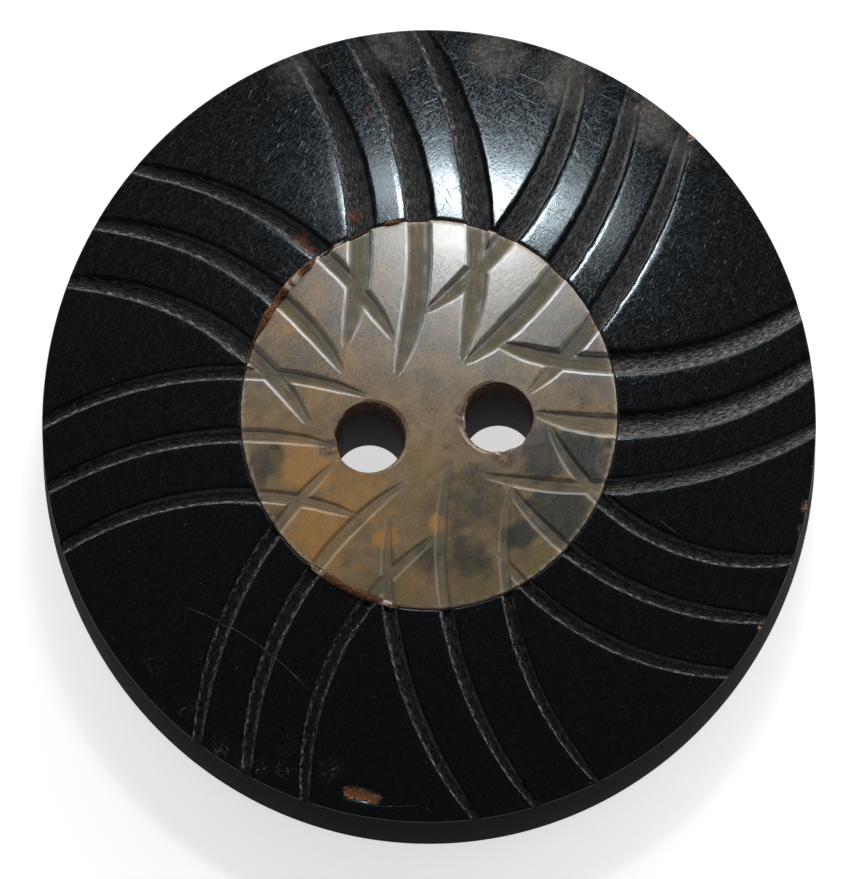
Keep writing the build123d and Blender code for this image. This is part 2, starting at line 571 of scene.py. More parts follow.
def finish_piece(piece, materials, node):
    """Shades a piece, gives it its materials and ties it to the part."""
    pick(piece)
    bpy.ops.object.shade_smooth_by_angle(angle=radians(SMOOTH_ANGLE))
    piece.data.materials.clear()
    for material, faces in materials:
        piece.data.materials.append(material)
        if faces is not None:
            for index in np.flatnonzero(faces):
                piece.data.polygons[index].material_index = len(piece.data.materials) - 1
    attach(piece, "root")
    if node:
        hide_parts(node)


# Materials

class Field:
    """Value, place or colour that varies over a piece. Values take part in sums as numbers do."""

    def __init__(self, tree, socket):
        self.tree = tree
        self.socket = socket

    def sum(self, operation, first, second=0.0):
        """Result of a sum on one or two values."""
        return add_node(self.tree, "ShaderNodeMath", {0: first, 1: second}, operation=operation)["Value"]

    def __add__(self, other):
        return self.sum("ADD", self, other)

    def __mul__(self, other):
        return self.sum("MULTIPLY", self, other)

    def __sub__(self, other):
        return self.sum("SUBTRACT", self, other)

    def __rsub__(self, other):
        return self.sum("SUBTRACT", other, self)

    def __abs__(self):
        return self.sum("ABSOLUTE", self)

    def __or__(self, other):
        """The larger of two masks."""
        return self.sum("MAXIMUM", self, other)

    def __and__(self, other):
        """The smaller of two masks."""
        return self.sum("MINIMUM", self, other)

    __radd__ = __add__
    __rmul__ = __mul__


def join(value, socket):
    """Links a field to a socket, or sets a constant on it."""
    if isinstance(value, Field):
        value.tree.links.new(value.socket, socket)
    else:
        socket.default_value = value


def fields(tree, sockets):
    """Sockets as fields, by name."""
    return {socket.name: Field(tree, socket) for socket in sockets}


def add_node(tree, kind, inputs=None, **settings):
    """Adds a node with its settings and inputs, and gives its outputs by name."""
    node = tree.nodes.new(kind)
    for name, value in settings.items():
        setattr(node, name, value)
    for name, value in (inputs or {}).items():
        join(value, node.inputs[name])
    return fields(tree, node.outputs)


def ramp(value, low, high):
    """Eased mask that rises from the low mark to the high mark."""
    marks = {"Value": value, "From Min": low, "From Max": high}
    return add_node(value.tree, "ShaderNodeMapRange", marks, interpolation_type="SMOOTHSTEP")["Result"]


def blend(factor, first, second):
    """Mix of two colours."""
    node = factor.tree.nodes.new("ShaderNodeMix")
    node.data_type = "RGBA"
    sockets = {socket.identifier: socket for socket in (*node.inputs, *node.outputs)}
    join(factor, sockets["Factor_Float"])
    join(first, sockets["A_Color"])
    join(second, sockets["B_Color"])
    return Field(factor.tree, sockets["Result_Color"])


def tint(name, shade=1.0):
    """A colour of the list with full cover, made lighter or darker."""
    return (*[channel * shade for channel in getattr(colours(), name)], 1)


def attribute(tree, name):
    """Number that a piece stores per vertex."""
    return add_node(tree, "ShaderNodeAttribute", attribute_name=name)["Fac"]


def in_millimetres(tree):
    """Object coordinates in millimetres."""
    place = add_node(tree, "ShaderNodeTexCoord")["Object"]
    return add_node(tree, "ShaderNodeMapping", {"Vector": place, "Scale": 3 * (1 / MM,)})["Vector"]


def stretched(place, turn, along, across):
    """Place turned by an angle in degrees and then scaled along and across that way."""
    scale = (1 / along, 1 / across, 1 / across)
    inputs = {"Vector": place, "Rotation": (0, 0, radians(turn)), "Scale": scale}
    return add_node(place.tree, "ShaderNodeMapping", inputs, vector_type="TEXTURE")["Vector"]


def noise(place, scale, detail=4.0, roughness=0.6, distortion=0.0):
    """Value of a cloudy pattern."""
    inputs = {"Vector": place, "Scale": scale, "Detail": detail,
              "Roughness": roughness, "Distortion": distortion}
    return add_node(place.tree, "ShaderNodeTexNoise", inputs)["Fac"]


def relief(height, depth, strength=1.0):
    """Surface direction of a fine relief."""
    inputs = {"Height": height, "Strength": strength, "Distance": depth * MM}
    return add_node(height.tree, "ShaderNodeBump", inputs)["Normal"]


# Polishing scratches: the way of each set in degrees, and how fine it is
SCRATCH_WAYS = ((24, 1.0), (66, 1.3), (118, 0.8), (155, 1.1))


def polishing_scratches(group, given):
    """Hairline polishing scratches in a few directions, and the fine grain between them."""
    place = in_millimetres(group)
    lines = None
    for turn, fine in SCRATCH_WAYS:
        hair = ramp(noise(stretched(place, turn, 0.28 * fine, 11 * fine), 1.0, 1.0), 0.66, 0.76)
        lines = hair if lines is None else lines | hair
    grain = 0.5 * noise(stretched(place, 58, 4, 16), 1.0, 1.0) + 0.5 * noise(place, 14.0, 1.0)
    height = grain * given["Grain"] - lines * given["Lines"]
    return {"Height": height, "Lines": lines, "Grain": ramp(grain, 0.42, 0.64)}


def graver_marks(group, given):
    """Streaks that the graver left along a groove, broken into specks."""
    across = attribute(group, "across") * given["Across scale"]
    along = attribute(group, "along") * given["Along scale"]
    place = add_node(group, "ShaderNodeCombineXYZ", {"X": across, "Y": along})["Vector"]
    streak = noise(place, 1.0, 3.0)
    speckle = ramp(noise(in_millimetres(group), 15.0, 1.5), 0.45, 0.65)
    return {"Streak": ramp(streak, 0.42, 0.64), "Speckle": speckle, "Height": streak}


def dust_specks(group, given):
    """Fine dust specks, each in its own cell and of its own strength."""
    cells = add_node(group, "ShaderNodeTexVoronoi", {
        "Vector": in_millimetres(group), "Scale": given["Spread"]})
    own = add_node(group, "ShaderNodeSeparateColor", {0: cells["Color"]})["Red"]
    return {"Speck": (1.0 - ramp(cells["Distance"], 0.02, 0.09)) * ramp(own, 0.45, 1.0)}


def use_group(tree, name, build, inputs):
    """Places a shader group, built at its first use, with its own values."""
    group = bpy.data.node_groups.get(name)
    if group is None:
        group = bpy.data.node_groups.new(name, "ShaderNodeTree")
        for socket in inputs:
            group.interface.new_socket(socket, in_out="INPUT", socket_type="NodeSocketFloat")
        made = build(group, fields(group, group.nodes.new("NodeGroupInput").outputs))
        for socket in made:
            group.interface.new_socket(socket, in_out="OUTPUT", socket_type="NodeSocketFloat")
        result = group.nodes.new("NodeGroupOutput")
        for socket, value in made.items():
            join(value, result.inputs[socket])
    return add_node(tree, "ShaderNodeGroup", inputs, node_tree=group)


def new_material(name):
    """Empty material with a principled shader, and its tree."""
    material = bpy.data.materials.new(name)
    material.use_nodes = True
    return material, material.node_tree, material.node_tree.nodes["Principled BSDF"]


def feed(shader, **links):
    """Links or sets a shader's sockets, named with underscores for spaces."""
    for name, value in links.items():
        join(value, shader.inputs[name.replace("_", " ")])


# Bent scratches on the black ring: middle, radius and reach across, in millimetres
LONG_SCRATCHES = [
    ((-13.4, -18.3), 11.6, -9.6, -4.4), ((30.0, 24.0), 35.2, 8.3, 9.9), ((-1.2, -3.0), 12.1, -2.4, -0.2),
]
SCRATCH_LINE = (0.003, 0.022)
SCRATCH_FADE = 0.8


def long_scratch(place, centre, radius, low, high):
    """Mask of a single bent scratch: part of a circle between two places across."""
    tree = place.tree
    flat = add_node(tree, "ShaderNodeVectorMath", {0: place, 1: (1, 1, 0)}, operation="MULTIPLY")
    ends = {0: flat["Vector"], 1: (*centre, 0)}
    away = add_node(tree, "ShaderNodeVectorMath", ends, operation="DISTANCE")["Value"]
    across = add_node(tree, "ShaderNodeSeparateXYZ", {0: place})["X"]
    begin = ramp(across, low, low + SCRATCH_FADE)
    end = 1.0 - ramp(across, high - SCRATCH_FADE, high)
    return (1.0 - ramp(abs(away - radius), *SCRATCH_LINE)) * begin * end


def black_horn_material(name, gloss):
    """Black horn, scraped grey in the grooves, brown where worn or chipped; lip streaks partly painted
    light.
    """
    material, tree, shader = new_material(name)
    place = in_millimetres(tree)
    groove = attribute(tree, "groove")
    marks = use_group(tree, "Graver marks", graver_marks, {"Across scale": 20, "Along scale": 3.5})
    scratches = use_group(
        tree, "Polishing scratches", polishing_scratches, {"Grain": 0.25, "Lines": 0.1})
    specks = use_group(tree, "Dust specks", dust_specks, {"Spread": 1.5})["Speck"]
    fine = noise(place, 6.0, 3.0)
    clouds = noise(place, 1.1, 5.0)
    dusty = (0.1 + 0.6 * marks["Streak"]) * (0.45 + 0.55 * marks["Speckle"])
    dusty = dusty * groove * attribute(tree, "floor_tone")
    # Grey streaks along lips that face the back: scraped marks, partly painted light
    lined = attribute(tree, "edge") * attribute(tree, "lip_tone")
    lined = lined * ramp(marks["Streak"], 0.15, 0.9) * (0.4 + marks["Speckle"])
    base = blend(scratches["Grain"], tint("black_horn"), tint("black_horn", 1.6))
    base = blend(dusty | lined, base, tint("groove_grey"))
    worn = attribute(tree, "worn") * (0.3 + 0.7 * ramp(clouds, 0.3, 0.65))
    brown = blend(ramp(fine, 0.35, 0.65), tint("worn_brown", 0.7), tint("worn_brown", 1.3))
    base = blend(worn, base, brown)
    base = blend(attribute(tree, "stain") * ramp(fine, 0.35, 0.6), base, tint("rust", 0.7))
    flecks = ramp(noise(stretched(place, -40, 1.2, 14.0), 1.0, 4.0), 0.53, 0.72)
    scuff = 0.5 * attribute(tree, "scuff") * (0.35 * flecks | scratches["Lines"])
    faint = 0.45 * ramp(fine, 0.3, 0.6)
    for scratch in LONG_SCRATCHES:
        scuff = scuff | faint * long_scratch(place, *scratch)
    scuff = scuff | 0.2 * specks
    base = blend(scuff, base, tint("dust", 0.5))
    chip = ramp(attribute(tree, "chip") + 1.3 * (fine - 0.5), 0.42, 0.6)
    flake = blend(ramp(noise(place, 9.0, 2.0), 0.57, 0.68), tint("rust", 1.1), tint("frost", 0.6))
    base = blend(chip, base, flake)
    dull = groove | chip | ramp(attribute(tree, "chip"), 0.2, 0.5) | scuff
    rubbed = scratches["Grain"] | scratches["Lines"]
    roughness = (0.11 + 0.15 * rubbed + 0.84 * dull) & 1.0
    height = (1.0 - groove) * scratches["Height"] + 2.0 * groove * marks["Height"] + 9.0 * fine * chip
    coat = (1.0 - dull) * (0.1 + 0.4 * scratches["Grain"])
    feed(shader, Base_Color=base, Roughness=roughness, Normal=relief(height, 0.012), IOR=1.55,
         Coat_Weight=coat, Coat_Roughness=0.11, Specular_Tint=(0.72, 0.9, 1.0, 1), Specular_IOR_Level=gloss)
    return material


def pale_horn_material():
    """Slightly see-through pale horn with amber and slate clouds under a scratched polish, with painted
    sheen and highlights on its lit upper half and painted shade on walls that face the front.
    """
    material, tree, shader = new_material("Pale horn")
    place = in_millimetres(tree)
    groove = attribute(tree, "groove")
    lit = attribute(tree, "lit")
    marks = use_group(tree, "Graver marks", graver_marks, {"Across scale": 12, "Along scale": 0.8})
    scratches = use_group(
        tree, "Polishing scratches", polishing_scratches, {"Grain": 0.4, "Lines": 0.08})
    clouds = noise(place, 0.75, 5.0, 0.62, 1.2)
    drift = noise(place, 1.7, 4.0, 0.6, 0.8)
    fine = noise(place, 5.5, 3.0)
    base = blend(ramp(clouds, 0.36, 0.66), tint("pale_horn", 0.75), tint("pale_horn", 1.15))
    for name, pattern in (("amber", drift), ("olive", clouds), ("slate", drift)):
        cloud = attribute(tree, name)
        uneven = cloud + 1.4 * (pattern - 0.5) * ramp(cloud, 0.0, 0.5)
        base = blend(ramp(uneven, -0.05, 1.3), base, tint(name))
    stain = attribute(tree, "stain") * ramp(fine, 0.3, 0.55)
    base = blend(stain, base, tint("rust", 0.4))
    base = blend(0.08 * scratches["Grain"] * ramp(fine, 0.4, 0.65), base, tint("frost", 0.8))
    # Painted sheen: silver grey over the lands of the lit upper half of the disc
    painted_sheen = blend(scratches["Grain"], tint("dust", 0.27), tint("dust", 0.42))
    base = blend(0.5 * ramp(lit, 0.25, 0.9), base, painted_sheen)
    # Olive groove floors, darker in the lit upper half: their own colour, there partly painted shade
    base = blend(groove * (0.35 + 0.55 * lit), base, tint("olive", 0.4))
    base = blend(0.55 * groove * marks["Streak"] * marks["Speckle"], base, tint("frost", 0.7))
    # Painted shade: dark olive on walls that face the front, stronger in the lit upper half
    base = blend(attribute(tree, "shade") * (0.35 + 0.5 * lit), base, tint("olive", 0.12))
    # Painted highlight: white lines on lips that face the back, in the lit upper half
    base = blend(attribute(tree, "lip") * lit, base, tint("dust", 2.0))
    bruised = attribute(tree, "frost") * ramp(fine, 0.4, 0.6)
    base = blend(bruised, base, tint("frost"))
    dull = groove | stain | bruised
    roughness = (0.26 + 0.1 * scratches["Grain"] + 0.62 * dull) & 1.0
    height = (1.0 - groove) * scratches["Height"] + 2.5 * groove * marks["Height"]
    coat = (1.0 - dull) * (0.15 + 0.2 * scratches["Grain"])
    feed(shader, Base_Color=base, Roughness=roughness, Normal=relief(height, 0.012), IOR=1.55,
         Specular_IOR_Level=1.0, Specular_Tint=(0.88, 0.96, 1.0, 1), Coat_Weight=coat,
         Coat_Roughness=0.12, Subsurface_Weight=0.2, Subsurface_Radius=(1.0, 0.7, 0.4),
         Subsurface_Scale=0.5 * MM)
    return material


def side_material():
    """Turned side wall and back: dull black horn with lathe lines and an olive tone, with a painted
    reflection of the floor in olive grey towards the back.
    """
    material, tree, shader = new_material("Turned side")
    place = in_millimetres(tree)
    height = add_node(tree, "ShaderNodeSeparateXYZ", {0: place})["Z"]
    lathe = add_node(tree, "ShaderNodeMapping", {"Vector": place, "Scale": (0.35, 0.35, 9.0)})["Vector"]
    lines = noise(lathe, 1.0, 3.0)
    low = 1.0 - ramp(height, 0.4, 4.4)
    # Painted reflection of the floor: olive grey that grows lower down the side wall, over an olive tone
    # along the lathe lines
    olive_and_reflection = (0.15 + low) * (noise(place, 1.3, 5.0) + 0.4 * lines)
    base = blend(olive_and_reflection, tint("black_horn", 1.6), tint("olive_tone_and_reflection"))
    feed(shader, Base_Color=base, Roughness=0.5 + 0.3 * lines, Normal=relief(lines, 0.03, 0.6),
         Specular_IOR_Level=0.01)
    return material


def bore_material():
    """Drilled walls of the sewing holes, dark, and rusty where crust has settled."""
    name = "Drilled wall"
    if name in bpy.data.materials:
        return bpy.data.materials[name]
    material, tree, shader = new_material(name)
    place = in_millimetres(tree)
    fine = noise(place, 7.0, 4.0)
    base = blend(ramp(noise(place, 1.6, 4.0), 0.3, 0.7), tint("glue"), tint("olive_tone_and_reflection"))
    crust = ramp(attribute(tree, "stain") + 0.8 * fine, 0.7, 1.05)
    rusty = blend(ramp(fine, 0.52, 0.68), tint("rust", 0.4), tint("frost", 0.55))
    base = blend(crust, base, rusty)
    feed(shader, Base_Color=base, Roughness=0.55 + 0.3 * fine, Normal=relief(fine * (0.3 + crust), 0.06),
         Specular_IOR_Level=0.15)
    return material


def glue_material():
    """Old brown glue in the joint, rusty where it has swollen, with pale flakes of horn in it."""
    material, tree, shader = new_material("Old glue")
    place = in_millimetres(tree)
    fine = noise(place, 6.0, 4.0)
    base = blend(attribute(tree, "crust") * ramp(fine, 0.33, 0.6), tint("glue"), tint("rust"))
    base = blend(ramp(noise(place, 13.0, 3.0), 0.47, 0.6), base, tint("glue", 0.4))
    flakes = attribute(tree, "frost") * ramp(noise(place, 4.0, 3.0), 0.42, 0.58)
    base = blend(flakes, base, tint("frost"))
    feed(shader, Base_Color=base, Roughness=0.4 + 0.4 * fine, Normal=relief(fine, 0.05),
         Specular_IOR_Level=0.12)
    return material


FLOOR_GLOW = 0.65


def floor_material():
    """Pale matt ground, plain white to the eye and in reflections except where it is shaded."""
    material, tree, shader = new_material("Pale floor")
    feed(shader, Base_Color=tint("floor"), Roughness=0.9)
    paths = add_node(tree, "ShaderNodeLightPath")
    seen = paths["Is Camera Ray"] | paths["Is Glossy Ray"] | paths["Is Transmission Ray"]
    glow = add_node(tree, "ShaderNodeEmission", {"Color": (1, 1, 1, 1), "Strength": FLOOR_GLOW * seen})
    both = {0: Field(tree, shader.outputs[0]), 1: glow["Emission"]}
    total = add_node(tree, "ShaderNodeAddShader", both)["Shader"]
    join(total, tree.nodes["Material Output"].inputs["Surface"])
    return material


# Pieces

# Chips along the rim: place on the face in millimetres, radius and strength
RIM_CHIPS = [
    (-2.95, -14.55, 0.36, 1.0), (-2.5, -14.68, 0.38, 1.0), (-2.05, -14.78, 0.34, 1.0),
    (14.45, -3.3, 0.3, 0.8), (14.2, -4.2, 0.2, 0.7), (10.0, 11.5, 0.3, 0.6),
    (4.2, -14.95, 0.28, 0.3), (6.2, -14.2, 0.25, 0.3), (12.65, -8.0, 0.25, 0.5), (7.9, 12.7, 0.25, 0.4),
]
CHIP_DEPTH = 0.12
# Worn bands, scuffs near the rim, and brown stains in the grooves
WORN_BANDS = [
    (2.5, 14.6, 1.5, 0.8), (5.3, 13.6, 1.7, 0.9), (8.6, 12.2, 1.5, 1.0), (-1.5, 14.9, 1.4, 0.7),
    (-5.0, 14.0, 1.2, 0.5), (9.6, 11.0, 0.9, 0.8),
]
SCUFFS = [
    (-7.8, -12.7, 0.6, 1.0), (-7.1, -13.2, 0.5, 1.0), (-5.4, -12.8, 0.55, 1.0), (-5.6, -13.7, 0.5, 0.9),
    (-3.8, -13.8, 0.6, 0.9), (-9.3, -11.3, 0.5, 0.7), (-6.4, -13.6, 0.4, 1.0), (-10.4, -9.6, 0.5, 0.5),
]
RING_STAINS = [
    (-2.85, 7.95, 0.35, 0.9), (-4.9, 7.0, 0.4, 0.9), (-4.6, 6.6, 0.35, 0.8), (-2.3, 12.2, 0.3, 0.4),
]
# Zones round the joint: bearing and half span in degrees, and strength or depth in millimetres
GLUE_CRUSTS = [(141, 17, 1.0), (101, 3, 0.9), (-118, 13, 0.9), (-103, 4, 0.7), (160, 8, 0.5)]
GLUE_FLAKES = [(137, 3, 1.0), (125, 3, 1.0), (119, 2, 1.0), (-102, 4, 1.0), (-127, 3, 0.7)]
WORN_EDGES = [(141, 18, 0.14), (116, 9, 0.08), (-115, 17, 0.13)]
# Scraped material: how many half widths it runs out from a groove's middle, what soft walls and
# places far out add to that, and the distances in millimetres between which far out sets in
SCRAPED_REACH = (1.0, 0.35, 0.08)
FAR_REACH = (9.0, 10.2)
POLISHED_GLOSS = 0.5
SCRAPED_GLOSS = 0.12
# How far up the faces of the side wall look at most, how far out they lie at least, and how far
# up the faces of the back look at most
SIDE_LEAN = 0.45
SIDE_REACH = 0.97
BACK_LEAN = -0.3
FACE_MARGIN = 0.6             # below the rim's height, in millimetres, where the face's wear ends
EDGE_WAVER = 0.012            # of the disc's edge, in millimetres


def edge_wear(bearing):
    """How far the disc's edge is worn back from its oval, in metres."""
    worn = zone(bearing, WORN_EDGES) * (1 + 0.3 * ripple(bearing * 6, 1.3))
    return MM * (EDGE_WAVER + EDGE_WAVER * ripple(bearing * 9, 0.4) + worn)


def oval_reach(x, y, wide, long):
    """Share of the way from the middle to an oval outline."""
    return np.hypot(2 * x / wide, 2 * y / long)


class BUTTON_OT_horn_body(bpy.types.Operator):
    """Turn the black body, carve its ring and drill its holes"""
    bl_idname = "button.horn_body"
    bl_label = "Black horn body"

    def rows(self, size):
        """Rows of the body from the pocket floor to the back: ring share, inset, drop and level."""
        lip = size.lip_round
        turns = np.linspace(0, pi / 2, 5)
        rows = [(0, -1.5 * MM, 0, size.pocket_floor), (0, 0, 0, size.pocket_floor), (0, 0, 4 * lip, None)]
        rows += [(0, lip * (1 - cos(turn)), lip * (1 - sin(turn)), None) for turn in turns[:-1]]
        first = lip / (rim_radius(size) - joint_radius(size))
        rows += [(share, 0, 0, None) for share in np.linspace(first, 1 - first, RING_ROWS)]
        rows += [(1, lip * (sin(turn) - 1), lip * (1 - cos(turn)), None) for turn in turns[1:]]
        rows += [(1, 0, 6 * lip, None), (1, 0, 0, (size.rim_height + size.back_round) / 2)]
        back = size.back_round
        turns = np.linspace(0, pi / 2, 8)
        rows += [(1, back * (cos(turn) - 1), 0, back * (1 - sin(turn))) for turn in turns]
        rows.append((1, -2 * back, 0, 0))
        return rows

    def execute(self, context):
        size = sizes()
        rows = self.rows(size)
        share, inset, drop = (np.array([row[index] for row in rows], dtype=float) for index in range(3))
        level = np.array([np.nan if row[3] is None else row[3] for row in rows])
        inner = joint_radius(size) / rim_radius(size)
        columns = column_bearings(size, inner + share * (1 - inner))
        piece, column, row = unit_grid("carved_body", columns.shape[1] - 1, len(rows) - 1)
        bearing = columns[row, column]
        pocket_width = size.disc_width + 2 * size.glue_gap
        pocket_length = size.disc_length + 2 * size.glue_gap
        wide = pocket_width + share * (size.face_width - pocket_width)
        long = pocket_length + share * (size.face_length - pocket_length)
        x = (wide / 2 + inset)[row] * np.cos(bearing)
        y = (long / 2 + inset)[row] * np.sin(bearing)
        depth = carve(size, x + 1j * y)[0]
        z = ring_top(size, np.hypot(x, y)) - depth - drop[row]
        z = z - CHIP_DEPTH * MM * spots(x, y, RIM_CHIPS)
        z = np.where(np.isnan(level[row]), z, level[row])
        move_to(piece, x, y, z)
        close_mesh(piece)
        drill_holes(piece)
        paint_carving(piece)
        x, y, z = places_of(piece).T
        top = z > size.rim_height - FACE_MARGIN * MM
        for name, places in (("worn", WORN_BANDS), ("chip", RIM_CHIPS), ("scuff", SCUFFS)):
            paint(piece, name, top * spots(x, y, places))
        paint(piece, "stain", np.maximum(top * spots(x, y, RING_STAINS), spots(x, y, HOLE_CRUSTS)))
        middles, ways = face_places(piece)
        x, y, z = middles.T
        reach = oval_reach(x, y, size.face_width, size.face_length)
        side = (ways[:, 2] < SIDE_LEAN) & (reach > SIDE_REACH) | (ways[:, 2] < BACK_LEAN)
        standing = carve(size, x + 1j * y)
        far = smooth(*FAR_REACH, np.hypot(x, y) / MM)
        crisp, soft, outer = SCRAPED_REACH
        scraped = standing[1] < crisp + soft * standing[5] + outer * far
        scraped = scraped & (z > size.rim_height - FACE_MARGIN * MM)
        finish_piece(piece, [
            (black_horn_material("Black horn", POLISHED_GLOSS), None),
            (black_horn_material("Scraped horn", SCRAPED_GLOSS), scraped),
            (side_material(), side), (bore_material(), in_bore(piece)),
        ], "horn_body")
        return {"FINISHED"}


DISC_CELLS = 300
# Clouds of the pale horn: place on the face in millimetres, radius and strength
AMBER_CLOUDS = [
    (-4.7, -2.1, 1.9, 0.9), (-4.1, -4.7, 2.0, 0.9), (-3.0, -3.5, 2.2, 0.7), (-1.7, -5.0, 0.7, 0.9),
    (0.3, -4.4, 0.6, 1.0), (-3.9, 0.8, 1.2, 0.4), (2.8, -3.7, 0.6, 0.5), (-0.2, -2.0, 1.4, 0.3),
    (-5.2, 3.4, 1.9, 0.7), (-2.6, 2.2, 1.6, 0.45), (-0.8, -6.6, 1.0, 0.4),
]
SLATE_CLOUDS = [
    (-6.3, -2.0, 1.2, 0.9), (-0.1, -5.7, 0.9, 0.8), (1.8, -3.5, 2.2, 0.75), (1.5, -5.7, 1.3, 0.85),
    (3.5, -4.9, 1.1, 1.1), (5.1, -3.8, 1.8, 1.1), (6.0, -1.7, 1.5, 1.3), (4.3, -1.6, 1.7, 1.15),
    (-4.9, 2.4, 1.1, 0.45), (5.8, 1.2, 1.5, 0.6), (-5.9, -4.4, 0.8, 0.4), (4.6, 3.6, 2.6, 0.6),
    (5.9, 2.2, 1.6, 0.7), (0.4, 5.6, 2.6, 0.25),
]
OLIVE_CLOUDS = [
    (4.2, -5.7, 1.0, 0.9), (2.2, -6.9, 1.6, 0.6), (-1.5, -6.9, 1.6, 0.5), (5.9, -4.0, 0.8, 0.7),
    (5.0, 0.1, 1.2, 0.5), (-0.6, 4.6, 1.0, 0.4), (-5.0, 1.8, 1.6, 0.4),
]
CLOUD_RAGGED = 0.6
# Crust in the holes and stains on the disc, in the same way
HOLE_CRUSTS = [
    (-3.75, -1.4, 0.7, 1.0), (-3.5, -0.4, 0.5, 0.7), (1.35, -0.2, 0.75, 1.0), (2.9, -1.75, 0.9, 1.0),
    (3.9, -0.9, 0.6, 0.8),
]
DISC_STAINS = [
    (6.85, -1.9, 0.6, 1.0), (6.75, 1.0, 0.5, 0.6), (-3.9, 1.45, 0.18, 1.0), (-5.2, 0.8, 0.35, 0.6),
    (3.2, 2.6, 0.3, 0.6), (4.6, 2.4, 0.22, 0.7), (-2.6, -4.4, 0.25, 0.4),
]
CRUST_THICKNESS = 0.11
# Where the disc's lands begin to catch the light and are fully lit, along the button
LIT_MARKS = (-2.0 * MM, 3.0 * MM)
LIT_FLOOR = 0.15
MOUTH_STAIN = 0.75            # how strongly the mouths of the holes are stained
BRUISE_FLOOR = 0.45           # how bruised the disc's edge is outside the zones
BRUISE_BAND = (0.972, 0.992)
WEAR_BAND = (0.9, 1.0)


class BUTTON_OT_pale_disc(bpy.types.Operator):
    """Dome the pale disc, carve it and drill its holes"""
    bl_idname = "button.pale_disc"
    bl_label = "Pale horn disc"

    def execute(self, context):
        size = sizes()
        piece, column, row = unit_grid("pale_inlay", DISC_CELLS, DISC_CELLS)
        across = 2 * column / DISC_CELLS - 1
        along = 2 * row / DISC_CELLS - 1
        x = size.disc_width / 2 * across * np.sqrt(1 - along ** 2 / 2)
        y = size.disc_length / 2 * along * np.sqrt(1 - across ** 2 / 2)
        reach = oval_reach(x, y, size.disc_width, size.disc_length)
        worn = edge_wear(np.arctan2(y, x)) * smooth(*WEAR_BAND, reach) / joint_radius(size)
        x = x * (1 - worn)
        y = y * (1 - worn)
        depth = carve(size, x + 1j * y)[0]
        edge = (1 - reach) * size.disc_width / 2
        lip = size.lip_round
        fall = lip - np.sqrt(np.maximum(lip ** 2 - np.maximum(lip - edge, 0) ** 2, 0))
        z = disc_top(size, np.hypot(x, y)) - depth - fall
        move_to(piece, x, y, z)
        edit_all(piece)
        bpy.ops.mesh.select_mode(type="EDGE")
        bpy.ops.mesh.select_all(action="DESELECT")
        bpy.ops.mesh.select_non_manifold()
        bpy.ops.mesh.extrude_edges_move(TRANSFORM_OT_translate={"value": (0, 0, -size.pocket_floor)})
        bpy.ops.transform.resize(value=(1, 1, 0), center_override=(0, 0, size.pocket_floor))
        bpy.ops.object.mode_set(mode="OBJECT")
        close_mesh(piece)
        drill_holes(piece)
        crust_holes(piece)
        paint_carving(piece)
        x, y, z = places_of(piece).T
        for name, places in (("amber", AMBER_CLOUDS), ("slate", SLATE_CLOUDS), ("olive", OLIVE_CLOUDS)):
            paint(piece, name, spots(x, y, places, CLOUD_RAGGED))
        broken = np.clip(0.75 + 0.45 * mottle(x / MM, y / MM, 2.2), 0, 1)
        # Mask of the lit upper half, which the material uses for painted sheen, highlights and shade
        paint(piece, "lit", broken * (LIT_FLOOR + (1 - LIT_FLOOR) * smooth(*LIT_MARKS, y)))
        mouth = size.hole_diameter / 2
        worn_mouth = smooth(mouth + 0.02 * MM, mouth + 1.1 * size.mouth_round, from_hole(x, y))
        stained = spots(x, y, DISC_STAINS + HOLE_CRUSTS)
        paint(piece, "stain", np.maximum(MOUTH_STAIN * (1 - worn_mouth), stained))
        bruises = BRUISE_FLOOR + (1 - BRUISE_FLOOR) * zone(np.arctan2(y, x), GLUE_FLAKES)
        reach = oval_reach(x, y, size.disc_width, size.disc_length)
        paint(piece, "frost", bruises * smooth(*BRUISE_BAND, reach))
        materials = [(pale_horn_material(), None), (bore_material(), in_bore(piece))]
        finish_piece(piece, materials, "pale_disc")
        return {"FINISHED"}


# Bead of glue: segments round the joint and round the bead, then in millimetres how far it runs
# past the gap, what crust adds, half its thickness, its depth below the face and the crust's rise
GLUE_SEGMENTS = (960, 12)
GLUE_SPILL = 0.006
CRUST_SPILL = 0.05
GLUE_THICK = 0.07
GLUE_SUNK = 0.08
CRUST_RISE = 0.1


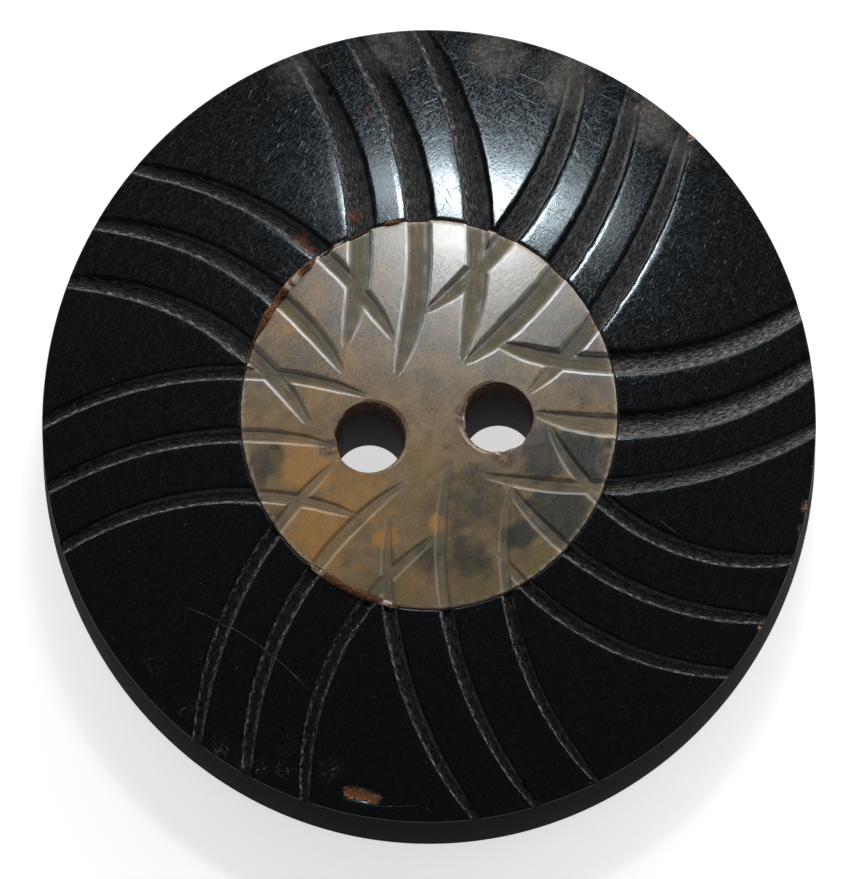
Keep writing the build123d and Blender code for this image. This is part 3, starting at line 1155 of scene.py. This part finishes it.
class BUTTON_OT_glue_line(bpy.types.Operator):
    """Run a bead of old glue round the joint, swollen where it has crusted"""
    bl_idname = "button.glue_line"
    bl_label = "Glue line"

    def execute(self, context):
        size = sizes()
        bpy.ops.object.select_all(action="DESELECT")
        bpy.ops.mesh.primitive_torus_add(
            major_segments=GLUE_SEGMENTS[0], minor_segments=GLUE_SEGMENTS[1],
            major_radius=1, minor_radius=0.25)
        piece = context.object
        piece.name = "glue_line"
        piece.data.name = "glue_line"
        x, y, z = places_of(piece).T
        bearing = np.arctan2(y, x)
        turn = np.arctan2(z, np.hypot(x, y) - 1)
        crust = zone(bearing, GLUE_CRUSTS) * (1 + 0.35 * ripple(bearing * 14, 0.9))
        wear = edge_wear(bearing)
        middle = (size.glue_gap - wear) / 2
        half = (size.glue_gap + wear) / 2 + (GLUE_SPILL + CRUST_SPILL * crust) * MM
        out = middle + half * np.cos(turn)
        x = (size.disc_width / 2 + out) * np.cos(bearing)
        y = (size.disc_length / 2 + out) * np.sin(bearing)
        wide = size.disc_width / 2 + middle
        long = size.disc_length / 2 + middle
        plan = wide * np.cos(bearing) + 1j * long * np.sin(bearing)
        radius = np.abs(plan)
        face = np.minimum(disc_top(size, radius), ring_top(size, radius)) - carve(size, plan)[0]
        thick = (GLUE_THICK + 0.02 * ripple(bearing * 21, 0.2)) * MM
        rise = (CRUST_RISE + 0.03 * ripple(bearing * 11, 0.6)) * MM * crust
        z = face - GLUE_SUNK * MM + rise + thick * np.sin(turn)
        move_to(piece, x, y, z)
        edit_all(piece)
        leave_outwards()
        paint(piece, "crust", crust)
        paint(piece, "frost", zone(bearing, GLUE_FLAKES))
        finish_piece(piece, [(glue_material(), None)], None)
        return {"FINISHED"}


# Stage

PHOTO_WIDTH = 855
PIXEL = 29.6 / 774 * MM      # size of a picture point at the rim's height
CAMERA_ELEVATION = 75
AIM = (-0.06 * MM, -0.61 * MM, 4.3 * MM)
SENSOR = 36
LENS = 1500
FLOOR_REACH = 1.5
CLIP_START = 0.01
KEY_DISTANCE = 0.3
KEY_TILT = 33                # degrees from overhead towards the back
KEY_SIDE = 4                 # degrees to the right
# Lamps: width and height in metres, and power in watts
LAMPS = {"key_lamp": (0.045, 0.0185, 0.14), "wide_lamp": (0.1, 0.018, 0.055)}
# Tent: strength in front, what the back adds, and overhead; the heights between which it goes
# dark, the places along the button between which the back sets in, and its lean to the right
FRONT_STRENGTH = 0.4
BACK_STRENGTH = 4.4
OVERHEAD_STRENGTH = 0.05
TENT_TOP = (0.38, 0.6)
TENT_BACK = (-0.1, 0.95)
TENT_LEAN = 0.25


class BUTTON_OT_stage(bpy.types.Operator):
    """Set the floor, the lamps, the light tent and the camera"""
    bl_idname = "button.stage"
    bl_label = "Stage"

    def tent(self):
        """Soft white tent, bright low down at the back, dim in front and dark overhead."""
        world = bpy.data.worlds.new("Light tent")
        world.use_nodes = True
        tree = world.node_tree
        way = add_node(tree, "ShaderNodeTexCoord")["Generated"]
        part = add_node(tree, "ShaderNodeSeparateXYZ", {0: way})
        low = 1.0 - ramp(part["Z"], *TENT_TOP)
        behind = ramp(part["Y"] + TENT_LEAN * part["X"], *TENT_BACK)
        strength = OVERHEAD_STRENGTH + low * (FRONT_STRENGTH + BACK_STRENGTH * behind)
        feed(tree.nodes["Background"], Strength=strength, Color=(1, 1, 1, 1))
        bpy.context.scene.world = world

    def lamp(self, name, way, wide, high, power):
        """Area lamp that faces the button from a direction."""
        way = Vector(way).normalized()
        turn = way.to_track_quat("Z", "Y").to_euler()
        bpy.ops.object.light_add(type="AREA", location=way * KEY_DISTANCE, rotation=turn)
        lamp = bpy.context.object
        lamp.name = name
        lamp.data.shape = "RECTANGLE"
        lamp.data.size = wide
        lamp.data.size_y = high
        lamp.data.energy = power

    def execute(self, context):
        bpy.ops.object.select_all(action="DESELECT")
        bpy.ops.mesh.primitive_plane_add(size=2 * FLOOR_REACH)
        floor = context.object
        floor.name = "floor"
        floor.data.materials.append(floor_material())
        self.tent()
        tilt = radians(KEY_TILT)
        key = (sin(radians(KEY_SIDE)), sin(tilt), cos(tilt))
        for name, lamp in LAMPS.items():
            self.lamp(name, key, *lamp)
        rise = radians(CAMERA_ELEVATION)
        distance = PHOTO_WIDTH * PIXEL * LENS / SENSOR
        spot = Vector(AIM) + distance * Vector((0, -cos(rise), sin(rise)))
        bpy.ops.object.camera_add(location=spot, rotation=(pi / 2 - rise, 0, 0))
        camera = context.object
        camera.data.sensor_fit = "HORIZONTAL"
        camera.data.sensor_width = SENSOR
        camera.data.lens = LENS
        camera.data.clip_start = CLIP_START
        context.scene.camera = camera
        context.scene.view_settings.view_transform = "Standard"
        return {"FINISHED"}


class BUTTON_PT_sidebar(bpy.types.Panel):
    """Lists the steps that make the button"""
    bl_label = "Carved Horn Button"
    bl_idname = "BUTTON_PT_sidebar"
    bl_space_type = "VIEW_3D"
    bl_region_type = "UI"
    bl_category = "Button"

    def draw(self, context):
        for step in STEPS:
            self.layout.operator(step.bl_idname)


STEPS = (BUTTON_OT_horn_body, BUTTON_OT_pale_disc, BUTTON_OT_glue_line, BUTTON_OT_stage)
CLASSES = (ButtonSizes, ButtonColours, *STEPS, BUTTON_PT_sidebar)


def register():
    for item in CLASSES:
        bpy.utils.register_class(item)
    bpy.types.Scene.button_sizes = bpy.props.PointerProperty(type=ButtonSizes)
    bpy.types.Scene.button_colours = bpy.props.PointerProperty(type=ButtonColours)


def unregister():
    del bpy.types.Scene.button_colours
    del bpy.types.Scene.button_sizes
    for item in reversed(CLASSES):
        bpy.utils.unregister_class(item)


def main():
    register()
    bpy.ops.button.horn_body()
    bpy.ops.button.pale_disc()
    bpy.ops.button.glue_line()
    bpy.ops.button.stage()


if __name__ == "__main__":
    main()
